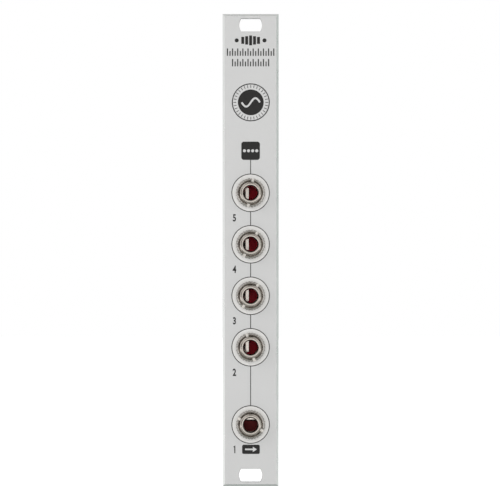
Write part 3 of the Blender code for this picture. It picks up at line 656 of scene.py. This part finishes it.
def numeral(name, text):
    font = bpy.data.curves.new(name, "FONT")
    font.body = text
    font.offset = numbers["weight"]
    font.extrude = 0.5  # so that it is one unit thick until it is scaled
    obj = bake(addObject(name, font))
    xs = [vert.co.x for vert in obj.data.vertices]
    ys = [vert.co.y for vert in obj.data.vertices]
    middle = Vector(((max(xs) + min(xs)) / 2, (max(ys) + min(ys)) / 2, 0))
    scale = numbers["height"] / (max(ys) - min(ys))
    size = Matrix.Diagonal((scale * numbers["narrow"], scale, ink["thickness"], 1))
    obj.data.transform(size @ Matrix.Translation(-middle))
    weld(obj)
    return obj


def makeNumbers():
    for number in jackNumbers:
        if number == 1:
            stroke = ribbon([(x * mm, y * mm) for x, y in numbers["one"]], numbers["stroke"])
            figure = flatPlate("number_1", [stroke], ink["thickness"])
        else:
            figure = numeral(f"number_{number}", str(number))
        layOn(figure, numbers["x"], jackCentre(number) - numbers["below"], ink, "ink")


# the dark square above the upper sockets, with dots left out of it
dots = {"radius": 0.42 * mm, "pitch": 1.12 * mm, "count": 4, "steps": 32}


def makeGroupMark():
    middle = (dots["count"] - 1) / 2
    holes = [circlePoints((i - middle) * dots["pitch"], 0, dots["radius"], dots["steps"])
             for i in range(dots["count"])]
    edge = roundedBox(0, 0, square["half"], (square["high"] - square["low"]) / 2, square["corner"])
    printed("group_mark", [edge, *holes], 0, panelMiddle + (square["low"] + square["high"]) / 2)


# the dark tab beside the lowest number, with an arrow left out of it
tab = {"low": (-2.3 * mm, -55.4 * mm), "high": (2.5 * mm, -52.9 * mm), "corner": 0.4 * mm}
arrow = {"length": 3.2 * mm, "head": 1.1 * mm, "half": 0.75 * mm, "shaft": 0.22 * mm}


def makeInputMark():
    (left, bottom), (right, top) = tab["low"], tab["high"]
    edge = roundedBox(0, 0, (right - left) / 2, (top - bottom) / 2, tab["corner"])
    tip, half, shaft = arrow["length"] / 2, arrow["half"], arrow["shaft"]
    neck = tip - arrow["head"]
    shape = [(-tip, -shaft), (neck, -shaft), (neck, -half), (tip, 0), (neck, half), (neck, shaft),
             (-tip, shaft)]
    printed("input_mark", [edge, shape], (right + left) / 2, panelMiddle + (top + bottom) / 2)


# the heading: two dots with a row of bold bars between them
heading = {"z": 57.05 * mm, "dotX": 3.78 * mm, "dotRadius": 0.55 * mm, "dotSteps": 40,
           "barWidth": 0.8 * mm, "barGap": 0.27 * mm, "corner": 0.1 * mm,
           "barHeights": (1.9 * mm, 2.3 * mm, 2.7 * mm, 2.3 * mm, 1.9 * mm)}


def makeHeading():
    z = panelMiddle + heading["z"]
    dot = circlePoints(0, 0, heading["dotRadius"], heading["dotSteps"])
    for side, name in ((-1, "left"), (1, "right")):
        printed(f"heading_dot_{name}", [dot], side * heading["dotX"], z)
    middle = (len(heading["barHeights"]) - 1) / 2
    for index, height in enumerate(heading["barHeights"]):
        bar = roundedBox(0, 0, heading["barWidth"] / 2, height / 2, heading["corner"])
        x = (index - middle) * (heading["barWidth"] + heading["barGap"])
        printed(f"heading_bar_{index + 1}", [bar], x, z)


# two fine scales below the heading. A row is its height, its reach to each side and its ticks.
scales = {"rows": {"upper": (53.85 * mm, 6.3 * mm, 19), "lower": (51.0 * mm, 4.9 * mm, 15)},
          "line": 0.3 * mm, "long": 2.0 * mm, "short": 1.3 * mm}


def makeScales():
    base = -scales["long"] / 2
    for name, (z, reach, count) in scales["rows"].items():
        ticks = []
        for index in range(count):
            x = (2 * index / (count - 1) - 1) * reach
            length = scales["short"] if index % 2 else scales["long"]
            ticks.append(ribbon([(x, base), (x, base + length)], scales["line"]))
        printed(f"scale_{name}", ticks, 0, panelMiddle + z)


# the badge: a dark disc in a ring of fine ticks, with a wave left out of it
badge = {"x": 0.05 * mm, "z": 40.2 * mm, "disc": 3.5 * mm, "ring": 5.02 * mm, "line": 0.27 * mm,
         "ticks": 32, "tickFrom": 3.95 * mm, "tickLine": 0.16 * mm, "wave": 2.5 * mm,
         "waveHeight": 1.15 * mm, "waveLine": 0.5 * mm, "waveSteps": 40}


def makeBadge():
    x, z = badge["x"], panelMiddle + badge["z"]
    printed("badge_ring", ringLine(badge["ring"], badge["line"]), x, z)
    tickTo = badge["ring"] - badge["line"]
    ticks = []
    for index in range(badge["ticks"]):
        angle = 2 * math.pi * index / badge["ticks"]
        along = Vector((math.cos(angle), math.sin(angle)))
        ticks.append(ribbon([along * badge["tickFrom"], along * tickTo], badge["tickLine"]))
    printed("badge_ticks", ticks, x, z)
    wave = []
    for step in range(badge["waveSteps"] + 1):
        share = 2 * step / badge["waveSteps"] - 1
        wave.append((share * badge["wave"], badge["waveHeight"] * math.sin(math.pi * share)))
    printed("badge_disc", [circlePoints(0, 0, badge["disc"]), ribbon(wave, badge["waveLine"])], x, z)


makeRings()
makeGuideLines()
makeNumbers()
makeGroupMark()
makeInputMark()
makeHeading()
makeScales()
makeBadge()
print("print made")


# the pads, and the solder joints: concave cones round the pins, with shares of their foot and height. The
# strip is what the sleeve's pin is made of.
pad = {"socket": 1.0 * mm, "steps": 40, "thickness": 0.035 * mm, "corner": 0.1 * mm, "cornerSteps": 3,
       "endReach": 0.82 * mm, "endHalf": (0.72 * mm, 0.4 * mm)}
joint = {"height": 0.85 * mm, "neck": 0.5 * mm, "foot": 0.92 * mm, "headerNeck": 0.42 * mm,
         "headerFoot": 0.78 * mm, "tip": 0.05 * mm, "skirtShare": 1.08, "lipShare": 0.06,
         "crownShare": 1.04, "hollow": 2.2, "steps": 5, "sides": 20, "sharp": 50, "strip": 0.3 * mm}


def socketPins(number):  # the tip's, the switch's and the sleeve's
    middle = middleOf(f"jack_{number}_tip_terminal")
    switch = middleOf(f"jack_{number}_switch_terminal")
    low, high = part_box(f"jack_{number}_sleeve_terminal")
    if number == 1:
        sleeve = (0, low.z + joint["strip"] / 2)
    else:
        sleeve = (high.x - joint["strip"] / 2, jackCentre(number))
    return [(middle.x, middle.z), (switch.x, switch.z), sleeve]


def addJoint(bm, place, face, height, foot, neck):
    profile = [(foot * joint["skirtShare"], face), (foot, face + height * joint["lipShare"])]
    for step in range(1, joint["steps"] + 1):
        share = step / joint["steps"]
        profile.append((neck + (foot - neck) * (1 - share) ** joint["hollow"], face + height * share))
    profile += [(joint["tip"], face + height * joint["crownShare"]), (joint["tip"], face)]
    addLathe(bm, profile, joint["sides"], place=place)


def makeSolder():
    rear, front = bmesh.new(), bmesh.new()
    for number in jackNumbers:
        for place in socketPins(number):
            addJoint(rear, place, boardRear, joint["height"], joint["foot"], joint["neck"])
    for name in headerPinNames:
        pin = middleOf(name)
        addJoint(front, (pin.x, pin.z), boardLow.y, -joint["height"], joint["headerFoot"],
                 joint["headerNeck"])
    for name, bm in (("solder_rear", rear), ("solder_front", front)):
        dress(solidObject(name, bm), "solder", sharp=joint["sharp"])


# the chips: a moulded body with drafted sides, gull-wing leads and a dimple at pin 1. A lead bends at its
# knee and its ankle, in mm from the bend's place at the body's seam and at the foot.
chip = {"pitch": 1.27 * mm, "rows": 7, "width": 3.9 * mm, "length": 8.65 * mm, "standOff": 0.15 * mm,
        "draft": 0.14 * mm, "bevel": 0.06 * mm, "sharp": 20, "dimple": 0.42 * mm, "dimpleSteps": 24,
        "dimpleDepth": 0.06 * mm, "dimpleInset": 0.9 * mm, "leadWidth": 0.42 * mm,
        "leadThickness": 0.2 * mm, "leadRoot": 0.1 * mm, "foot": 0.5 * mm,
        "knee": ((-0.32, 0), (-0.2, -0.06)), "ankle": ((-0.03, 0.1), (0.08, 0)),
        "padLength": 1.3 * mm, "padWidth": 0.6 * mm}
chipMiddles = [middleOf(f"amplifier_chip_{number}") for number in (1, 2)]


def chipRows(middle):
    return [middle.z + (row - (chip["rows"] - 1) / 2) * chip["pitch"] for row in range(chip["rows"])]


def bendsFrom(place, bends):  # bends in mm from a place
    return [(place[0] + x * mm, place[1] + y * mm) for x, y in bends]


def makeChipBody(number, middle, bottom, top):
    seam = (bottom + top) / 2
    halfWidth, halfLength = chip["width"] / 2, chip["length"] / 2
    levels = ((bottom, chip["draft"]), (seam, 0), (top - chip["bevel"], chip["draft"]),
              (top, chip["draft"] + chip["bevel"]))
    outlines = []
    for y, draft in levels:
        w, h = halfWidth - draft, halfLength - draft
        outlines.append([(middle.x + x, y, middle.z + z) for x, z in ((-w, -h), (w, -h), (w, h), (-w, h))])
    dimpleX = middle.x + halfWidth - chip["dimpleInset"]
    dimpleZ = middle.z + halfLength - chip["dimpleInset"]
    circle = circlePoints(dimpleX, dimpleZ, chip["dimple"], chip["dimpleSteps"])
    depths = (top - chip["dimpleDepth"], top + overrun)
    cutter = loft("cutter", [[(x, y, z) for x, z in circle] for y in depths])
    body = cutBy(loft(f"chip_body_{number}", outlines), [cutter])
    dress(body, "epoxy", replaces=[f"amplifier_chip_{number}"], sharp=chip["sharp"])


def makeChip(number, middle):
    low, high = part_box(f"amplifier_chip_{number}")
    bottom, top = low.y + chip["standOff"], high.y
    makeChipBody(number, middle, bottom, top)
    seam = (bottom + top) / 2
    reach = (high.x - low.x) / 2
    bend = reach - chip["foot"]
    footLevel = low.y + chip["leadThickness"] / 2
    path = [(chip["width"] / 2 - chip["leadRoot"], seam), *bendsFrom((bend, seam), chip["knee"]),
            *bendsFrom((bend, footLevel), chip["ankle"]), (reach, footLevel)]
    outline = ribbon(path, chip["leadThickness"])
    half = chip["leadWidth"] / 2
    bm = bmesh.new()
    for z in chipRows(middle):
        for side in (-1, 1):
            ends = [[(middle.x + side * x, y, end) for x, y in outline] for end in (z - half, z + half)]
            addLoft(bm, ends)
    dress(solidObject(f"chip_leads_{number}", bm), "tin")


# the capacitors and the resistors, each a body between two tinned ends
capacitor = {"cap": 0.4 * mm, "capEdge": 0.06 * mm, "inset": 0.04 * mm, "edge": 0.05 * mm}
resistor = {"length": 2.0 * mm, "width": 1.25 * mm, "height": 0.5 * mm, "cap": 0.38 * mm, "x": -5.0 * mm,
            "pitch": 2.6 * mm, "inset": 0.05 * mm, "edge": 0.03 * mm, "capDrop": 0.02 * mm,
            "glazeRise": 0.04 * mm, "glazeDepth": 0.06 * mm, "glazeEdge": 0.02 * mm,
            "glazeInset": 0.075 * mm, "glazeOverlap": 0.076 * mm}
capacitorNumbers = (1, 2, 3, 4)
capacitorMiddles = [middleOf(f"bypass_capacitor_{number}") for number in capacitorNumbers]
resistorPlaces = [(resistor["x"], middle.z + step * resistor["pitch"])
                  for middle in chipMiddles for step in (-1, 0, 1)]
endedParts = [(middle.x, middle.z) for middle in capacitorMiddles] + resistorPlaces


def makeCapacitor(number):
    low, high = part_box(f"bypass_capacitor_{number}")
    cap, inset = capacitor["cap"], capacitor["inset"]
    body = boxMesh(f"capacitor_body_{number}", (low.x + inset, low.y + inset, low.z + cap / 2),
                   (high.x - inset, high.y - inset, high.z - cap / 2), capacitor["edge"])
    dress(body, "capCeramic", replaces=[f"bypass_capacitor_{number}"])
    bm = bmesh.new()
    addBox(bm, low, (high.x, high.y, low.z + cap), capacitor["capEdge"])
    addBox(bm, (low.x, low.y, high.z - cap), high, capacitor["capEdge"])
    dress(meshObject(f"capacitor_ends_{number}", bm), "tin")


def makeResistor(number, x, z):
    base = boardRear + pad["thickness"]
    top = base + resistor["height"]
    bodyTop, cap, inset = top - resistor["glazeRise"], resistor["cap"], resistor["inset"]
    halfLength, halfWidth = resistor["length"] / 2, resistor["width"] / 2
    w, h = halfWidth - inset, halfLength - inset
    body = boxMesh(f"resistor_body_{number}", (x - w, base + inset, z - h), (x + w, bodyTop, z + h),
                   resistor["edge"])
    dress(body, "legend")
    bm = bmesh.new()
    for start in (z - halfLength, z + halfLength - cap):
        end = (x + halfWidth, top - resistor["capDrop"], start + cap)
        addBox(bm, (x - halfWidth, base, start), end, inset)
    dress(meshObject(f"resistor_ends_{number}", bm), "tin")
    w, h = halfWidth - resistor["glazeInset"], halfLength - cap + resistor["glazeOverlap"]
    glaze = boxMesh(f"resistor_glaze_{number}", (x - w, top - resistor["glazeDepth"], z - h),
                    (x + w, top, z + h), resistor["glazeEdge"])
    dress(glaze, "resistorGlaze")


def onBoard(name, outlines, thickness, finish):
    obj = flatPlate(name, outlines, thickness)
    standUpright(obj, boardRear + thickness / 2)
    dress(obj, finish)


def makePads():
    pads = []
    for number in jackNumbers:
        pads += [circlePoints(x, z, pad["socket"], pad["steps"]) for x, z in socketPins(number)]
    chipLow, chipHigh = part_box("amplifier_chip_1")
    leadX = (chipHigh.x - chipLow.x - chip["foot"]) / 2
    boxes = [(side * leadX, z, chip["padLength"] / 2, chip["padWidth"] / 2)
             for middle in chipMiddles for z in chipRows(middle) for side in (-1, 1)]
    boxes += [(x, z + side * pad["endReach"], *pad["endHalf"]) for x, z in endedParts for side in (-1, 1)]
    pads += [roundedBox(*box, pad["corner"], pad["cornerSteps"]) for box in boxes]
    onBoard("pads", pads, pad["thickness"], "solder")


makeSolder()
makePads()
for number, middle in enumerate(chipMiddles, start=1):
    makeChip(number, middle)
for number in capacitorNumbers:
    makeCapacitor(number)
for number, (x, z) in enumerate(resistorPlaces, start=1):
    makeResistor(number, x, z)
print("board parts made")


# the tracks under the solder mask, and the vias. Bends are in mm from the pin or bus that they are named
# for, and lanes are the bends' x on the board.
track = {"signal": 0.3 * mm, "power": 0.55 * mm, "thickness": 0.02 * mm, "busLeft": -6.25 * mm,
         "busRight": 6.3 * mm, "busTop": 8 * mm, "busStart": 1.6 * mm, "busDrop": 5 * mm,
         "busBends": ((-1.8, 0), (-0.1, 1.7)), "sleeveStart": 0.7 * mm, "sleeveEnd": 0.2 * mm,
         "tipBends": ((0, -0.8), (0, -2.2), (1.1, -3.3), (1.1, -4.2)), "switchStart": ((0.7, -0.6),),
         "switchLane": 0.3 * mm, "switchBends": ((0, -1.3), (0, -6)), "inner": 1.3 * mm,
         "rootStart": ((0.6, 0.7),), "rootRise": ((0, 1.6),), "rootEnd": ((0, -0.9), (0.9, 0)),
         "resistorRows": (1, 3, 5), "leftLanes": (-3.3 * mm, -3.75 * mm, -4.2 * mm),
         "resistorEnd": 0.5 * mm, "outputRows": ((2, -1), (4, 1)), "outputRise": 2.1 * mm,
         "rightLanes": (3.3 * mm, 3.7 * mm, 4.1 * mm, 4.5 * mm)}
via = {"bends": ((0.3, 6.0), (-5.2, -4.9), (4.9, -4.4)), "radius": 0.36 * mm, "hole": 0.17 * mm,
       "steps": 24}


def busTracks():
    right, left = track["busRight"], track["busLeft"]
    top = middleOf("header_shroud").z + track["busTop"]
    ground = socketPins(1)[2]
    return [[(right, ground[1] + track["busStart"]), (right, top)],
            [ground, *bendsFrom((right, ground[1]), track["busBends"])],
            [(left, chipMiddles[0].z - track["busDrop"]), (left, top)]]


def socketTracks():
    runs = []
    for number in upperJacks:
        tipPin, switchPin, (x, z) = socketPins(number)
        lane = (track["switchLane"], switchPin[1])
        runs.append([(x + track["sleeveStart"], z), (track["busRight"] - track["sleeveEnd"], z)])
        runs.append(bendsFrom(tipPin, track["tipBends"]))
        runs.append(bendsFrom(switchPin, track["switchStart"]) + bendsFrom(lane, track["switchBends"]))
    start = socketPins(1)[0]
    lane, goal = (track["inner"], start[1]), (track["inner"], chipRows(chipMiddles[0])[0])
    runs.append(bendsFrom(start, track["rootStart"]) + bendsFrom(lane, track["rootRise"])
                + bendsFrom(goal, track["rootEnd"]))
    return runs


def chipTracks(middle):  # each goes out along a lead's row, then slants to the part's own height
    rows = chipRows(middle)
    runs = []
    for step, row in zip((-1, 0, 1), track["resistorRows"]):
        z = middle.z + step * resistor["pitch"] + pad["endReach"]
        lanes = (*track["leftLanes"], resistor["x"] + track["resistorEnd"])
        runs.append(list(zip(lanes, (rows[row], rows[row], z, z))))
    for row, side in track["outputRows"]:
        z = middle.z + side * track["outputRise"]
        runs.append(list(zip(track["rightLanes"], (rows[row], rows[row], z, z))))
    return runs


def makeTracks():
    signals = socketTracks()
    vias = []
    for middle in chipMiddles:
        signals += chipTracks(middle)
        for x, z in bendsFrom((0, middle.z), via["bends"]):
            vias += [circlePoints(x, z, radius, via["steps"]) for radius in (via["radius"], via["hole"])]
    outlines = [ribbon(run, track["power"]) for run in busTracks()]
    outlines += [ribbon(run, track["signal"]) for run in signals]
    onBoard("tracks", outlines, track["thickness"], "maskedCopper")
    onBoard("vias", vias, pad["thickness"], "solder")


# the white legend: a frame round the header with a key mark, a bracket and a dot at each chip, and strokes
# beside the ended parts
legend = {"line": 0.15 * mm, "thickness": 0.015 * mm, "gap": 0.35 * mm, "dot": 0.25 * mm, "dotSteps": 20,
          "dotX": 3.0 * mm, "dotRise": 0.1 * mm, "strokeX": 0.95 * mm, "strokeHalf": 0.5 * mm,
          "keyGap": 0.8 * mm, "keyDrop": 5 * mm, "keyShape": ((0, 0), (0.8, 0.5), (0.8, -0.5))}


def frameLines(x0, z0, x1, z1):  # a thin printed rectangle
    half = legend["line"] / 2
    return [[(x0 - grow, z0 - grow), (x1 + grow, z0 - grow), (x1 + grow, z1 + grow), (x0 - grow, z1 + grow)]
            for grow in (half, -half)]


def makeLegend():
    low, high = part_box("header_shroud")
    gap, line = legend["gap"], legend["line"]
    marks = frameLines(low.x - gap, low.z - gap, high.x + gap, high.z + gap)
    half = chip["width"] / 2
    for middle in chipMiddles:
        edge = middle.z + chip["length"] / 2
        top = edge + gap
        dotZ = top + legend["dotRise"]
        marks.append(ribbon([(-half, edge), (-half, top), (half, top), (half, edge)], line))
        marks.append(circlePoints(legend["dotX"], dotZ, legend["dot"], legend["dotSteps"]))
    reach = legend["strokeHalf"]
    for x, z in endedParts:
        for strokeX in (x - legend["strokeX"], x + legend["strokeX"]):
            marks.append(ribbon([(strokeX, z - reach), (strokeX, z + reach)], line))
    key = (high.x + gap + legend["keyGap"], high.z - legend["keyDrop"])
    marks.append(bendsFrom(key, legend["keyShape"]))
    onBoard("legend", marks, legend["thickness"], "legend")


makeTracks()
makeLegend()
print("tracks and legend made")


# floor, lights and camera. A lamp or a card is placed in metres from the panel's middle, which it faces.
studio = {"floorDrop": 42 * mm, "floorSize": 6.0, "floorParts": 4, "floorGlow": 0.6, "world": 0.6,
          "cardRoughness": 0.9}
lamps = {
    "front_box": {"place": (-0.15, -1.45, 0.25), "size": 1.3, "energy": 8.6},
    "left_key": {"place": (-0.9, -0.35, 0.45), "size": 0.5, "energy": 2.2},
    "rear_fill": {"place": (0.5, 0.9, 0.6), "size": 0.6, "energy": 3.5},
}
cards = {
    "left_card": {"place": (-0.39, -0.416, -0.18), "size": (0.56, 0.9), "colour": (0.02, 0.022, 0.02)},
    "top_card": {"place": (0.05, -0.446, 0.4), "size": (0.7, 0.46), "colour": (0.37, 0.37, 0.35)},
    "bottom_card": {"place": (0.14, -0.44, -0.42), "size": (0.5, 0.46), "colour": (0.13, 0.125, 0.12)},
    "right_card": {"place": (0.5, 0, 0), "size": (0.4, 0.6), "colour": (0.76, 0.82, 0.79)},
    "over_card": {"place": (0, 0, halfPanel + 0.35), "size": (0.3, 0.3), "colour": (0.97, 0.97, 0.96)},
    "under_card": {"place": (0, 0, -halfPanel - 0.035), "size": (0.3, 0.3), "colour": (0.56, 0.6, 0.58)},
}
shot = {"distance": 0.870, "scale": 3.6776 / mm, "axisPixel": (250.6, 250.2), "imageSize": 500,
        "sensor": 36.0, "clip": (0.05, 20)}  # the scale is in pixels per metre


def makeFloor():
    bm = bmesh.new()
    parts = studio["floorParts"]
    bmesh.ops.create_grid(bm, x_segments=parts, y_segments=parts, size=studio["floorSize"] / 2)
    floor = meshObject("floor", bm)
    floor.location = (0, 0, panelLow.z - studio["floorDrop"])
    tree = finishes["floor"].node_tree
    link = tree.links.new
    rays = addNode(tree, "LightPath").outputs
    seen = addMath(tree, "ADD", rays["Is Camera Ray"], rays["Is Glossy Ray"], use_clamp=True)
    lift = addMath(tree, "MULTIPLY", seen, studio["floorGlow"])
    glow = addNode(tree, "Emission")
    glow.inputs["Color"].default_value = (1, 1, 1, 1)
    link(lift, glow.inputs["Strength"])
    total = addNode(tree, "AddShader")
    link(tree.nodes["Principled BSDF"].outputs[0], total.inputs[0])
    link(glow.outputs[0], total.inputs[1])
    link(total.outputs[0], tree.nodes["Material Output"].inputs["Surface"])
    floor.data.materials.append(finishes["floor"])


def makeWorld():  # white to the camera and in reflections, and softer as light
    world = bpy.data.worlds.new("studio")
    world.use_nodes = True
    bpy.context.scene.world = world
    tree = world.node_tree
    rays = addNode(tree, "LightPath").outputs
    direct = addMath(tree, "MAXIMUM", rays["Is Camera Ray"], rays["Is Glossy Ray"])
    seen = addMath(tree, "MAXIMUM", direct, rays["Is Transmission Ray"])
    strength = addNode(tree, "MapRange")
    strength.inputs["To Min"].default_value = studio["world"]
    strength.inputs["To Max"].default_value = 1
    tree.links.new(seen, strength.inputs["Value"])
    background = tree.nodes["Background"]
    background.inputs["Color"].default_value = (1, 1, 1, 1)
    tree.links.new(strength.outputs["Result"], background.inputs["Strength"])


def faceMiddle(obj, place, forward):
    x, y, z = place
    obj.location = (x, y, panelMiddle + z)
    ahead = Vector((0, 0, panelMiddle)) - obj.location
    obj.rotation_euler = ahead.to_track_quat(forward, "Y").to_euler()


def makeLamp(name, place, size, energy):
    lamp = bpy.data.lights.new(name, "AREA")
    lamp.shape = "SQUARE"
    lamp.size = size
    lamp.energy = energy
    obj = addObject(name, lamp)
    faceMiddle(obj, place, "-Z")
    obj.visible_camera = False
    obj.visible_glossy = False


def makeCard(name, place, size, colour):  # a card beside the set, which only reflections see
    bm = bmesh.new()
    bmesh.ops.create_grid(bm, x_segments=1, y_segments=1, size=0.5)
    bmesh.ops.scale(bm, vec=(*size, 1), verts=bm.verts)
    card = meshObject(name, bm)
    faceMiddle(card, place, "Z")
    material = bpy.data.materials.new(name)
    material.use_nodes = True
    shader = material.node_tree.nodes["Principled BSDF"]
    shader.inputs["Base Color"].default_value = (*colour, 1)
    shader.inputs["Roughness"].default_value = studio["cardRoughness"]
    card.data.materials.append(material)
    card.visible_camera = False
    card.visible_diffuse = False
    card.visible_shadow = False


def makeCamera():
    camera = bpy.data.cameras.new("camera")
    camera.sensor_width = shot["sensor"]
    camera.lens = shot["scale"] * shot["sensor"] / shot["imageSize"] * shot["distance"]
    camera.clip_start, camera.clip_end = shot["clip"]
    obj = addObject("camera", camera)
    across, down = ((pixel - shot["imageSize"] / 2) / shot["scale"] for pixel in shot["axisPixel"])
    obj.location = (-across, faceY - shot["distance"], panelMiddle + down)
    obj.rotation_euler = (math.pi / 2, 0, 0)
    bpy.context.scene.camera = obj


makeFloor()
makeWorld()
for name, settings in lamps.items():
    makeLamp(name, **settings)
for name, settings in cards.items():
    makeCard(name, **settings)
makeCamera()
bpy.context.scene.view_settings.view_transform = "Standard"
print("studio made")
